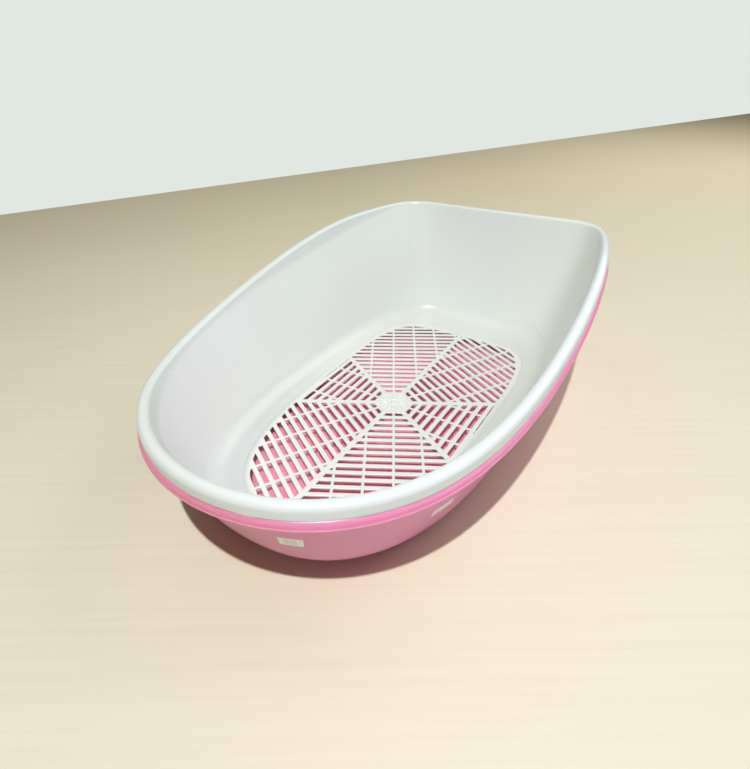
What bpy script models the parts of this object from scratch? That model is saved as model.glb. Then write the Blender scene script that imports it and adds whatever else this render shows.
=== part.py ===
"""Sifting litter box: a pan with a slotted floor panel, nested in a deeper tray.

The two shells share one plan curve, the outer edge of the pan's rim. Each wall is a row of
upright sections, one at every station of that curve. Front is -Y, the low end, back is +Y.
All lengths are metres. The origin is on the table under the middle of the box.
"""
from collections import namedtuple
from math import atan2, cos, hypot, pi, radians, sin, tan

import bmesh
import bpy
from mathutils import Vector

# Driving sizes of the rim, seen from above. Reaches run from the widest line of the box.
RIM_HALF_WIDTH = 0.1620
RIM_FRONT_REACH = 0.2736
RIM_BACK_REACH = 0.2370
BACK_RIM_HEIGHT = 0.1560
FRONT_RIM_HEIGHT = 0.1127

# How far the floor's edge lies inside the rim at the side, the front and the back.
SIDE_DRAFT = 0.0445
FRONT_DRAFT = 0.0455
BACK_DRAFT = 0.0290

# Sieve. Insets run from the floor's edge in to the slotted field.
SIEVE_SIDE_INSET = 0.0257
SIEVE_FRONT_INSET = 0.0297
SIEVE_BACK_INSET = 0.0536
HUB_AHEAD_OF_WIDEST = 0.0184
SLOT_PITCH = 0.0090
PANEL_THICKNESS = 0.0016
PANEL_BORDER = 0.0050
LEDGE_MARGIN = 0.0012

# Walls and rims
WALL = 0.0022
SIEVE_TOP_HEIGHT = 0.0130
PAN_BACK_FILLET = 0.0200
PAN_FRONT_FILLET = 0.0330
TRAY_BACK_FILLET = 0.0300
TRAY_FRONT_FILLET = 0.0580
BEAD_WIDTH = 0.0086
BEAD_RADIUS = 0.0042
BEAD_DEPTH = 0.0102
LIP_PROUD = 0.0020
LIP_RADIUS = 0.0035
LIP_DEPTH = 0.0068
LIP_INNER_RADIUS = 0.0015

# Clearances
SEAT_GAP = 0.0003
NEST_GAP = 0.0025

# Labels
FRONT_LABEL_WIDTH = 0.0134
FRONT_LABEL_HEIGHT = 0.0122
SIDE_LABEL_WIDTH = 0.0195
SIDE_LABEL_HEIGHT = 0.0080
LABEL_THICKNESS = 0.0003
FRONT_LABEL_ANGLE = radians(-71.3)
SIDE_LABEL_ANGLE = radians(-37.3)
FRONT_LABEL_DROP = 0.0541
SIDE_LABEL_DROP = 0.0630
LABEL_COLUMNS = 6
LABEL_ROWS = 2

# Shape shares, none of them a length
RIM_FRONT_POWER = 2.0
RIM_BACK_POWER = 11.0
RIM_TAPER_SHARE = 0.20
RIM_SWELL_SHARE = 0.235
FLOOR_FRONT_POWER = 2.60
FLOOR_BACK_POWER = 5.0
FLOOR_TAPER_SHARE = 0.16
SIEVE_FRONT_POWER = 2.7
SIEVE_BACK_POWER = 5.0
SIEVE_TAPER_SHARE = 0.02
RISE_START_SHARE = 0.77
RISE_END_SHARE = 0.61
FIRST_SLOT_SHARE = 2.35
RIB_SPACING_SHARE = 2.93
RIB_WIDTH_SHARE = 0.30
SLOT_WIDTH_SHARE = 0.50
SPOKE_WIDTH_SHARE = 0.60
SMALLEST_SLOT_SHARE = 0.22
SECTORS = 6

# Mesh fineness and the turn above which an edge stays sharp
SHARP_TURN = radians(35)
STATIONS = 96
FINE_STEPS = 1440
FILLET_STEPS = 4
BEAD_STEPS = 3

# Colours, linear, and how rough each finish is
WHITE = (0.78, 0.82, 0.79, 1.0)
PINK = (0.79, 0.30, 0.48, 1.0)
PAPER = (0.84, 0.83, 0.82, 1.0)
PINK_ROUGHNESS = 0.30
PAN_ROUGHNESS = 0.22
SIEVE_ROUGHNESS = 0.30
PAPER_ROUGHNESS = 0.55

WIDEST_Y = (RIM_FRONT_REACH - RIM_BACK_REACH) / 2
FLOOR_HALF_WIDTH = RIM_HALF_WIDTH - SIDE_DRAFT
FLOOR_FRONT_REACH = RIM_FRONT_REACH - FRONT_DRAFT
FLOOR_BACK_REACH = RIM_BACK_REACH - BACK_DRAFT
HUB = Vector((0.0, WIDEST_Y - HUB_AHEAD_OF_WIDEST))
LEDGE_TOP = SIEVE_TOP_HEIGHT - PANEL_THICKNESS - SEAT_GAP

Outline = namedtuple("Outline", "half_width front back front_power back_power taper swell")
Corner = namedtuple("Corner", "out up radius steps")

RIM = Outline(RIM_HALF_WIDTH, RIM_FRONT_REACH, RIM_BACK_REACH,
              RIM_FRONT_POWER, RIM_BACK_POWER, RIM_TAPER_SHARE, RIM_SWELL_SHARE)
FLOOR = Outline(FLOOR_HALF_WIDTH, FLOOR_FRONT_REACH, FLOOR_BACK_REACH,
                FLOOR_FRONT_POWER, FLOOR_BACK_POWER, FLOOR_TAPER_SHARE, 0)


def sieve_outline(margin):
    """The edge of the slotted field, grown outwards by a margin."""
    return Outline(FLOOR_HALF_WIDTH - SIEVE_SIDE_INSET + margin,
                   FLOOR_FRONT_REACH - SIEVE_FRONT_INSET + margin,
                   FLOOR_BACK_REACH - SIEVE_BACK_INSET + margin,
                   SIEVE_FRONT_POWER, SIEVE_BACK_POWER, SIEVE_TAPER_SHARE, 0)


def outline_point(outline, angle):
    """A point of a plan outline; angle 0 is the right side and a quarter turn is the back."""
    at_back = sin(angle) > 0
    power = outline.back_power if at_back else outline.front_power
    reach = outline.back if at_back else outline.front
    stretch = (abs(cos(angle)) ** power + abs(sin(angle)) ** power) ** (-1 / power)
    across = cos(angle) * stretch
    along = sin(angle) * stretch
    if at_back:
        across *= 1 - outline.taper * along ** 2
    else:
        across *= 1 + outline.swell * along ** 2
    return Vector((across * outline.half_width, WIDEST_Y + along * reach))


def station_angles(outline, count):
    """Angles that share the outline's length and its turning evenly, closer at the corners."""
    angles = [2 * pi * step / FINE_STEPS for step in range(FINE_STEPS + 1)]
    points = [outline_point(outline, angle) for angle in angles]
    sides = [points[i + 1] - points[i] for i in range(FINE_STEPS)]
    around = sum(side.length for side in sides)
    measure = [0.0]
    for i, side in enumerate(sides):
        turn = abs(sides[i - 1].angle_signed(side))
        measure.append(measure[-1] + side.length / around + turn / (2 * pi))
    stations = []
    fine = 0
    for step in range(count):
        wanted = measure[-1] * step / count
        while measure[fine + 1] < wanted:
            fine += 1
        share = (wanted - measure[fine]) / (measure[fine + 1] - measure[fine])
        stations.append(angles[fine] + share * (angles[fine + 1] - angles[fine]))
    return stations


def rim_height(y):
    """Height of the rim: low in front, then one smooth rise up to the level back."""
    start = WIDEST_Y - RISE_START_SHARE * RIM_FRONT_REACH
    end = WIDEST_Y + RISE_END_SHARE * RIM_BACK_REACH
    share = min(max((y - start) / (end - start), 0.0), 1.0)
    rise = share * share * (3 - 2 * share)
    return FRONT_RIM_HEIGHT + (BACK_RIM_HEIGHT - FRONT_RIM_HEIGHT) * rise


class Wall:
    """The upright section of the walls at one station.

    Distances run outwards from the floor's sharp corner; depth 0 is the pan's inner face.
    """

    def __init__(self, angle):
        self.foot = outline_point(FLOOR, angle)
        rim = outline_point(RIM, angle)
        self.reach = (rim - self.foot).length
        self.outward = (rim - self.foot) / self.reach
        self.top = rim_height(rim.y)
        run = self.reach - BEAD_WIDTH
        rise = self.top - SIEVE_TOP_HEIGHT
        self.lean = run / rise
        self.slant = hypot(run, rise) / rise
        frontness = min(sin(angle), 0.0) ** 2
        self.pan_fillet = PAN_BACK_FILLET + (PAN_FRONT_FILLET - PAN_BACK_FILLET) * frontness
        self.tray_fillet = TRAY_BACK_FILLET + (TRAY_FRONT_FILLET - TRAY_BACK_FILLET) * frontness

    def face(self, height, depth):
        """Distance of the wall's face at a height; depth is measured square to the wall."""
        return self.lean * (height - SIEVE_TOP_HEIGHT) + depth * self.slant

    def place(self, out, height):
        spot = self.foot + self.outward * out
        return Vector((spot.x, spot.y, height))


def rounded(corners):
    """Rounds an open row of section corners; the first and last stay as they are."""
    points = []
    for i, corner in enumerate(corners):
        here = Vector((corner.out, corner.up))
        if corner.radius == 0 or i in (0, len(corners) - 1):
            points.append(here)
            continue
        to_last = (Vector(corners[i - 1][:2]) - here).normalized()
        to_next = (Vector(corners[i + 1][:2]) - here).normalized()
        half = to_last.angle(to_next) / 2
        middle = here + (to_last + to_next).normalized() * (corner.radius / sin(half))
        first = here + to_last * (corner.radius / tan(half)) - middle
        last = here + to_next * (corner.radius / tan(half)) - middle
        begin = atan2(first.y, first.x)
        sweep = atan2(first.x * last.y - first.y * last.x, first.dot(last))
        for step in range(corner.steps + 1):
            turn = begin + sweep * step / corner.steps
            points.append(middle + Vector((cos(turn), sin(turn))) * corner.radius)
    return points


def sharp(out, up):
    return Corner(out, up, 0, 0)


def pan_section(wall, angle):
    """One closed slice of the pan, from the recess edge over the rim and back underneath."""
    inner = wall.reach - BEAD_WIDTH
    under = wall.top - WALL
    floor_under = SIEVE_TOP_HEIGHT - WALL
    ledge_under = LEDGE_TOP - WALL
    recess = outline_point(sieve_outline(PANEL_BORDER + SEAT_GAP), angle)
    recess_outer = outline_point(sieve_outline(PANEL_BORDER + SEAT_GAP + WALL), angle)
    opening = outline_point(sieve_outline(LEDGE_MARGIN), angle)
    floor_start = -(recess - wall.foot).length
    corners = [
        sharp(floor_start, SIEVE_TOP_HEIGHT),
        Corner(0.0, SIEVE_TOP_HEIGHT, wall.pan_fillet, FILLET_STEPS),
        Corner(inner, wall.top, BEAD_RADIUS, BEAD_STEPS),
        Corner(wall.reach, wall.top, BEAD_RADIUS, BEAD_STEPS),
        sharp(wall.reach, wall.top - BEAD_DEPTH),
        sharp(wall.reach - WALL, wall.top - BEAD_DEPTH),
        Corner(wall.reach - WALL, under, BEAD_RADIUS - WALL, BEAD_STEPS - 1),
        sharp(wall.face(under, WALL), under),
        Corner(wall.face(floor_under, WALL), floor_under, wall.pan_fillet + WALL, FILLET_STEPS),
        sharp(floor_start, floor_under),
    ]
    upper = [wall.place(*point) for point in rounded(corners)][1:-1]
    return (
        [Vector((*recess, SIEVE_TOP_HEIGHT))]
        + upper
        + [Vector((*recess_outer, floor_under)), Vector((*recess_outer, ledge_under))]
        + [Vector((*opening, ledge_under)), Vector((*opening, LEDGE_TOP))]
        + [Vector((*recess, LEDGE_TOP))]
    )


def tray_section(wall):
    """One open slice of the tray, from its floor over the lip and down to the table."""
    inner = WALL + NEST_GAP
    lip_top = wall.top - BEAD_DEPTH - SEAT_GAP
    lip_under = lip_top - WALL
    lip_edge = wall.reach + LIP_PROUD
    corners = [
        sharp(-wall.reach, WALL),
        Corner(wall.face(WALL, inner), WALL, wall.tray_fillet, FILLET_STEPS),
        Corner(wall.face(lip_top, inner), lip_top, LIP_INNER_RADIUS, 1),
        Corner(lip_edge, lip_top, LIP_RADIUS, BEAD_STEPS),
        sharp(lip_edge, lip_top - LIP_DEPTH),
        sharp(lip_edge - WALL, lip_top - LIP_DEPTH),
        Corner(lip_edge - WALL, lip_under, LIP_RADIUS - WALL, 1),
        sharp(wall.face(lip_under, inner + WALL), lip_under),
        Corner(wall.face(0.0, inner + WALL), 0.0, wall.tray_fillet + WALL, FILLET_STEPS),
        sharp(-wall.reach, 0.0),
    ]
    return [wall.place(*point) for point in rounded(corners)][1:-1]


def finished_object(name, shape, material):
    """Turns a bmesh into a named object with outward normals, smooth except at its corners."""
    bmesh.ops.recalc_face_normals(shape, faces=shape.faces)
    mesh = bpy.data.meshes.new(name)
    shape.to_mesh(mesh)
    shape.free()
    mesh.shade_smooth()
    mesh.set_sharp_from_angle(angle=SHARP_TURN)
    mesh.materials.append(material)
    piece = bpy.data.objects.new(name, mesh)
    bpy.context.scene.collection.objects.link(piece)
    return piece


def skin(shape, slices, closed_section):
    """Joins equal slices all the way round with four-sided faces."""
    rows = [[shape.verts.new(point) for point in slice_] for slice_ in slices]
    count = len(rows[0])
    last = count if closed_section else count - 1
    for i, row in enumerate(rows):
        before = rows[i - 1]
        for j in range(last):
            k = (j + 1) % count
            shape.faces.new((before[j], before[k], row[k], row[j]))
    return rows


def build_pan(material):
    shape = bmesh.new()
    slices = [pan_section(Wall(angle), angle) for angle in station_angles(RIM, STATIONS)]
    skin(shape, slices, closed_section=True)
    return finished_object("sifting_pan", shape, material)


def build_tray(material):
    shape = bmesh.new()
    slices = [tray_section(Wall(angle)) for angle in station_angles(RIM, STATIONS)]
    rows = skin(shape, slices, closed_section=False)
    shape.faces.new([row[0] for row in rows])
    shape.faces.new([row[-1] for row in reversed(rows)])
    return finished_object("base_tray", shape, material)


def clipped(polygon, edge_point, inward):
    """The part of a flat convex polygon on the inward side of a line."""
    kept = []
    for i, end in enumerate(polygon):
        start = polygon[i - 1]
        start_in = (start - edge_point).dot(inward)
        end_in = (end - edge_point).dot(inward)
        if start_in * end_in < 0:
            kept.append(start.lerp(end, start_in / (start_in - end_in)))
        if end_in >= 0:
            kept.append(end)
    return kept


def polygon_area(polygon):
    total = 0.0
    for i, end in enumerate(polygon):
        start = polygon[i - 1]
        total += start.x * end.y - start.y * end.x
    return abs(total) / 2


def sector_slots(axis_angle, edge):
    """The slots of one sixth of the sieve: rows across the sector's axis, cut by its ribs."""
    axis = Vector((cos(axis_angle), sin(axis_angle)))
    side = Vector((-axis.y, axis.x))
    slot = SLOT_PITCH * SLOT_WIDTH_SHARE
    rib = SLOT_PITCH * RIB_WIDTH_SHARE
    spacing = SLOT_PITCH * RIB_SPACING_SHARE
    half_sector = pi / SECTORS
    slots = []
    for row in range(int((FLOOR_FRONT_REACH + FLOOR_BACK_REACH) / SLOT_PITCH)):
        middle = SLOT_PITCH * (FIRST_SLOT_SHARE + row)
        span = middle * tan(half_sector)
        cells = int(span / spacing) + 1
        for cell in range(-cells, cells):
            low = spacing * cell + rib / 2
            high = spacing * (cell + 1) - rib / 2
            shape = [HUB + axis * (middle + a * slot / 2) + side * b
                     for a, b in ((-1, low), (1, low), (1, high), (-1, high))]
            for sign in (-1, 1):
                turn = axis_angle + sign * half_sector
                spoke_side = Vector((sin(turn), -cos(turn))) * sign
                shape = clipped(shape, HUB + spoke_side * SLOT_PITCH * SPOKE_WIDTH_SHARE / 2, spoke_side)
            for point, inward in edge:
                shape = clipped(shape, point, inward)
            if polygon_area(shape) > SMALLEST_SLOT_SHARE * slot * slot:
                slots.append(shape)
    return slots


def inward_edges(points):
    """Each side of a closed outline as a point on it and the direction into the outline."""
    edges = []
    for i, end in enumerate(points):
        along = (end - points[i - 1]).normalized()
        edges.append((end, Vector((-along.y, along.x))))
    return edges


def sieve_slots():
    outline = sieve_outline(0)
    edge = inward_edges([outline_point(outline, angle) for angle in station_angles(outline, STATIONS // 2)])
    slots = []
    for sector in range(SECTORS):
        slots += sector_slots(2 * pi * sector / SECTORS, edge)
    return slots


def build_sieve(material):
    """A flat panel filled between its edge and its slots, then given its thickness."""
    shape = bmesh.new()
    outline = sieve_outline(PANEL_BORDER)
    border = [outline_point(outline, angle) for angle in station_angles(RIM, STATIONS)]
    for loop in [border] + sieve_slots():
        corners = [shape.verts.new((point.x, point.y, SIEVE_TOP_HEIGHT)) for point in loop]
        for i, corner in enumerate(corners):
            shape.edges.new((corners[i - 1], corner))
    bmesh.ops.triangle_fill(shape, use_beauty=True, edges=shape.edges)
    lower = bmesh.ops.extrude_face_region(shape, geom=shape.faces)["geom"]
    lower_corners = [item for item in lower if isinstance(item, bmesh.types.BMVert)]
    bmesh.ops.translate(shape, verts=lower_corners, vec=(0, 0, -PANEL_THICKNESS))
    return finished_object("sieve_panel", shape, material)


def build_label(name, middle_angle, drop, width, height, material):
    """A thin bare label that follows the tray's wall."""
    outer_face = 2 * WALL + NEST_GAP
    step = 2 * pi / FINE_STEPS
    level = rim_height(outline_point(RIM, middle_angle).y) - drop
    ahead = Wall(middle_angle + step).place(0.0, level)
    behind = Wall(middle_angle - step).place(0.0, level)
    sweep = 2 * step * width / (ahead - behind).length
    shape = bmesh.new()
    skins = []
    for depth in (outer_face + SEAT_GAP, outer_face + SEAT_GAP + LABEL_THICKNESS):
        grid = []
        for column in range(LABEL_COLUMNS + 1):
            wall = Wall(middle_angle - sweep / 2 + sweep * column / LABEL_COLUMNS)
            heights = [level - height / 2 + height * row / LABEL_ROWS for row in range(LABEL_ROWS + 1)]
            grid.append([shape.verts.new(wall.place(wall.face(up, depth), up)) for up in heights])
        skins.append(grid)
        for column in range(LABEL_COLUMNS):
            for row in range(LABEL_ROWS):
                shape.faces.new((grid[column][row], grid[column + 1][row],
                                 grid[column + 1][row + 1], grid[column][row + 1]))
    rims = []
    for grid in skins:
        rims.append(grid[0] + [column[-1] for column in grid[1:]]
                    + grid[-1][-2::-1] + [column[0] for column in grid[-2:0:-1]])
    for i in range(len(rims[0])):
        shape.faces.new((rims[0][i - 1], rims[0][i], rims[1][i], rims[1][i - 1]))
    return finished_object(name, shape, material)


def plastic(name, colour, roughness):
    material = bpy.data.materials.new(name)
    material.use_nodes = True
    shader = material.node_tree.nodes["Principled BSDF"]
    shader.inputs["Base Color"].default_value = colour
    shader.inputs["Roughness"].default_value = roughness
    shader.inputs["Metallic"].default_value = 0.0
    return material


def main():
    for item in list(bpy.data.objects):
        bpy.data.objects.remove(item, do_unlink=True)
    build_tray(plastic("pink_plastic", PINK, PINK_ROUGHNESS))
    build_pan(plastic("white_plastic", WHITE, PAN_ROUGHNESS))
    build_sieve(plastic("sieve_plastic", WHITE, SIEVE_ROUGHNESS))
    build_label("label_front", FRONT_LABEL_ANGLE, FRONT_LABEL_DROP, FRONT_LABEL_WIDTH, FRONT_LABEL_HEIGHT,
                plastic("front_label_paper", PAPER, PAPER_ROUGHNESS))
    build_label("label_side", SIDE_LABEL_ANGLE, SIDE_LABEL_DROP, SIDE_LABEL_WIDTH, SIDE_LABEL_HEIGHT,
                plastic("side_label_paper", PAPER, PAPER_ROUGHNESS))


main()
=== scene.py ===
# %% [markdown]
# # A sifting litter box, dressed for its portrait
# The real object is two moulded pans of one oval plan. The white pan has a slotted floor and
# hangs by its rolled rim on the lip of the pink pan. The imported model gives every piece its
# place. This lesson makes the fine surfaces and the finishes, one piece at a time.

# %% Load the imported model
from collections import namedtuple
from math import atan2, ceil, cos, hypot, pi, radians, sin, tan

import bmesh
import bpy
import numpy as np
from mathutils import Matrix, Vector


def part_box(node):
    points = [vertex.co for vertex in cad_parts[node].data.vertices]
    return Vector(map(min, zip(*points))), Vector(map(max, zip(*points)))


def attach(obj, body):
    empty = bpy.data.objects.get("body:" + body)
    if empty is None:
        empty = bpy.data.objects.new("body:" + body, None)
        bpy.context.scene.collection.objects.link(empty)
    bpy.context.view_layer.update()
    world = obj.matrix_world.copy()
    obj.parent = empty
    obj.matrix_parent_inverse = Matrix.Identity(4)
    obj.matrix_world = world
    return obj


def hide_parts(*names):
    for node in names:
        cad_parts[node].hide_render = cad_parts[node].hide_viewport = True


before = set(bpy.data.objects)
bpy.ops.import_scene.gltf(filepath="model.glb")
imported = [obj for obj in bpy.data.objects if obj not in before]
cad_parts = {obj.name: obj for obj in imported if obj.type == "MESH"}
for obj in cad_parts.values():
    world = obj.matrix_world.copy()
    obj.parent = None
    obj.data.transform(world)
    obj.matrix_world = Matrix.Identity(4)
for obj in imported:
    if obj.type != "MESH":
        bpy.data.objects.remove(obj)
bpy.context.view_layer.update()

pan_low, pan_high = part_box("sifting_pan")
tray_low, tray_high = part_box("base_tray")
panel_low, panel_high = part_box("sieve_panel")
print("pan from", pan_low[:], "to", pan_high[:])

# %% [markdown]
# ## The sizes
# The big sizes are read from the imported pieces, so the fine surfaces follow them. The rest
# repeat the design: how far the walls lean, how round the corners are, how wide the rim is.
# All lengths are metres. Reaches run forwards and backwards from the widest line of the box.

# %% Sizes shared by the pans
RIM_HALF_WIDTH = pan_high.x
RIM_FRONT_REACH = 0.2736
RIM_BACK_REACH = pan_high.y - pan_low.y - RIM_FRONT_REACH
BACK_RIM_HEIGHT = pan_high.z
FRONT_RIM_HEIGHT = 0.1127
SIDE_DRAFT = 0.0445
FRONT_DRAFT = 0.0455
BACK_DRAFT = 0.0290
WALL = 0.0022
NEST_GAP = 0.0025
SEAT_GAP = 0.0003
SIEVE_TOP_HEIGHT = panel_high.z
PANEL_THICKNESS = panel_high.z - panel_low.z
LEDGE_TOP = SIEVE_TOP_HEIGHT - PANEL_THICKNESS - SEAT_GAP
WIDEST_Y = (RIM_FRONT_REACH - RIM_BACK_REACH) / 2
FLOOR_HALF_WIDTH = RIM_HALF_WIDTH - SIDE_DRAFT
FLOOR_FRONT_REACH = RIM_FRONT_REACH - FRONT_DRAFT
FLOOR_BACK_REACH = RIM_BACK_REACH - BACK_DRAFT
HUB_PLACE = Vector((0.0, WIDEST_Y - 0.0184, SIEVE_TOP_HEIGHT))
print("widest line at y =", round(WIDEST_Y, 4), "back reach", round(RIM_BACK_REACH, 4))

# %% [markdown]
# ## The plan curve
# Seen from above, the rim is an egg with a squared back. A superellipse gives such a curve from
# one power at the front and another at the back. Tracing it by hand would take a hundred points
# and would never be as even. One matched angle names the same station on every outline.

# %% Plan outlines
Outline = namedtuple("Outline", "half_width front back front_power back_power taper swell")
RIM = Outline(RIM_HALF_WIDTH, RIM_FRONT_REACH, RIM_BACK_REACH, 2.0, 11.0, 0.20, 0.235)
FLOOR = Outline(FLOOR_HALF_WIDTH, FLOOR_FRONT_REACH, FLOOR_BACK_REACH, 2.60, 5.0, 0.16, 0)
SIEVE_SIDE_INSET = 0.0257
SIEVE_FRONT_INSET = 0.0297
SIEVE_BACK_INSET = 0.0536
FINE_STEPS = 2880


def sieve_outline(margin):
    """The edge of the slotted field, grown outwards by a margin."""
    return Outline(FLOOR_HALF_WIDTH - SIEVE_SIDE_INSET + margin,
                   FLOOR_FRONT_REACH - SIEVE_FRONT_INSET + margin,
                   FLOOR_BACK_REACH - SIEVE_BACK_INSET + margin, 2.7, 5.0, 0.02, 0)


def outline_point(outline, angle):
    """A point of a plan outline; angle 0 is the right side and a quarter turn is the back."""
    at_back = sin(angle) > 0
    power = outline.back_power if at_back else outline.front_power
    reach = outline.back if at_back else outline.front
    stretch = (abs(cos(angle)) ** power + abs(sin(angle)) ** power) ** (-1 / power)
    across = cos(angle) * stretch
    along = sin(angle) * stretch
    if at_back:
        across *= 1 - outline.taper * along ** 2
    else:
        across *= 1 + outline.swell * along ** 2
    return Vector((across * outline.half_width, WIDEST_Y + along * reach))


def station_angles(outline, count):
    """Angles that share the outline's length and its turning evenly, closer at the corners."""
    angles = [2 * pi * step / FINE_STEPS for step in range(FINE_STEPS + 1)]
    points = [outline_point(outline, angle) for angle in angles]
    sides = [points[i + 1] - points[i] for i in range(FINE_STEPS)]
    around = sum(side.length for side in sides)
    measure = [0.0]
    for i, side in enumerate(sides):
        turn = abs(sides[i - 1].angle_signed(side))
        measure.append(measure[-1] + side.length / around + turn / (2 * pi))
    stations = []
    fine = 0
    for step in range(count):
        wanted = measure[-1] * step / count
        while measure[fine + 1] < wanted:
            fine += 1
        share = (wanted - measure[fine]) / (measure[fine + 1] - measure[fine])
        stations.append(angles[fine] + share * (angles[fine + 1] - angles[fine]))
    return stations


def smooth_share(value, start, end):
    """0 before start, 1 after end, and an even S between them."""
    share = min(max((value - start) / (end - start), 0.0), 1.0)
    return share * share * (3 - 2 * share)


RISE_START_SHARE = 0.77
RISE_END_SHARE = 0.61


def rim_height(y):
    """Height of the rim: low in front, then one smooth rise up to the level back."""
    rise = smooth_share(y, WIDEST_Y - RISE_START_SHARE * RIM_FRONT_REACH,
                        WIDEST_Y + RISE_END_SHARE * RIM_BACK_REACH)
    return FRONT_RIM_HEIGHT + (BACK_RIM_HEIGHT - FRONT_RIM_HEIGHT) * rise


print("front rim point", outline_point(RIM, -pi / 2)[:], "height", rim_height(pan_low.y))

# %% [markdown]
# ## The walls
# Both pans are skins of plastic of one thickness. A wall is easiest as a section drawn in a
# flat plane, with sharp corners first and then each corner rounded by its own radius. The
# section is swung round the plan curve and joined into a skin. Blender's Solidify modifier
# could thicken one surface, but a drawn section also gives the skirt, the lip and the recess.

# %% Section tools
PAN_BACK_FILLET = 0.0200
PAN_FRONT_FILLET = 0.0330
TRAY_BACK_FILLET = 0.0300
TRAY_FRONT_FILLET = 0.0580
BEAD_WIDTH = 0.0086
BEAD_RADIUS = 0.0042
BEAD_DEPTH = 0.0102
Corner = namedtuple("Corner", "out up radius")
ARC_STEP = radians(6)


class Wall:
    """The upright section of the walls at one station.

    Distances run outwards from the floor's sharp corner; depth 0 is the pan's inner face.
    """

    def __init__(self, angle):
        self.angle = angle
        self.foot = outline_point(FLOOR, angle)
        rim = outline_point(RIM, angle)
        self.reach = (rim - self.foot).length
        self.outward = (rim - self.foot) / self.reach
        self.top = rim_height(rim.y)
        run = self.reach - BEAD_WIDTH
        rise = self.top - SIEVE_TOP_HEIGHT
        self.lean = run / rise
        self.slant = hypot(run, rise) / rise
        frontness = min(sin(angle), 0.0) ** 2
        self.pan_fillet = PAN_BACK_FILLET + (PAN_FRONT_FILLET - PAN_BACK_FILLET) * frontness
        self.tray_fillet = TRAY_BACK_FILLET + (TRAY_FRONT_FILLET - TRAY_BACK_FILLET) * frontness

    def face(self, height, depth):
        """Distance of the wall's face at a height; depth is measured square to the wall."""
        return self.lean * (height - SIEVE_TOP_HEIGHT) + depth * self.slant

    def place(self, out, height):
        spot = self.foot + self.outward * out
        return Vector((spot.x, spot.y, height))


def rounded(corners):
    """Rounds an open row of section corners; the first and last stay as they are."""
    points = []
    for i, corner in enumerate(corners):
        here = Vector((corner.out, corner.up))
        if corner.radius == 0 or i in (0, len(corners) - 1):
            points.append(here)
            continue
        to_last = (Vector(corners[i - 1][:2]) - here).normalized()
        to_next = (Vector(corners[i + 1][:2]) - here).normalized()
        half = to_last.angle(to_next) / 2
        middle = here + (to_last + to_next).normalized() * (corner.radius / sin(half))
        first = here + to_last * (corner.radius / tan(half)) - middle
        last = here + to_next * (corner.radius / tan(half)) - middle
        begin = atan2(first.y, first.x)
        sweep = atan2(first.x * last.y - first.y * last.x, first.dot(last))
        steps = ARC_COUNTS[i]
        for step in range(steps + 1):
            turn = begin + sweep * step / steps
            points.append(middle + Vector((cos(turn), sin(turn))) * corner.radius)
    return points


ARC_COUNTS = [14] * 40


def skinned(name, slices, closed_section, material):
    """Joins equal slices all the way round with four-sided faces."""
    count = len(slices[0])
    around = len(slices)
    last = count if closed_section else count - 1
    points = [point for slice_ in slices for point in slice_]
    faces = []
    for i in range(around):
        before = (i - 1) % around * count
        here = i * count
        for j in range(last):
            k = (j + 1) % count
            faces.append((before + j, before + k, here + k, here + j))
    if not closed_section:
        faces.append([i * count for i in range(around)])
        faces.append([i * count + count - 1 for i in reversed(range(around))])
    return finished_piece(name, points, faces, material)


def finished_piece(name, points, faces, material):
    """A named mesh object with its faces pointing out, smooth except at true corners."""
    mesh = bpy.data.meshes.new(name)
    mesh.from_pydata([tuple(point) for point in points], [], faces)
    shape = bmesh.new()
    shape.from_mesh(mesh)
    bmesh.ops.recalc_face_normals(shape, faces=shape.faces)
    shape.to_mesh(mesh)
    shape.free()
    mesh.shade_smooth()
    mesh.set_sharp_from_angle(angle=radians(40))
    mesh.materials.append(material)
    piece = bpy.data.objects.new(name, mesh)
    bpy.context.scene.collection.objects.link(piece)
    print(name, "has", len(mesh.vertices), "points and", len(mesh.polygons), "faces")
    return piece

# %% [markdown]
# ## Finishes
# Both pans are glossy polypropylene. A plain colour would look like paint, so each finish gets
# a slow drift of tint, a fine mottle, a ripple from the mould and sparse rubbed marks. Image
# textures would need unwrapping and would blur up close; noise in object space does not.

# %% Node helpers


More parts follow.
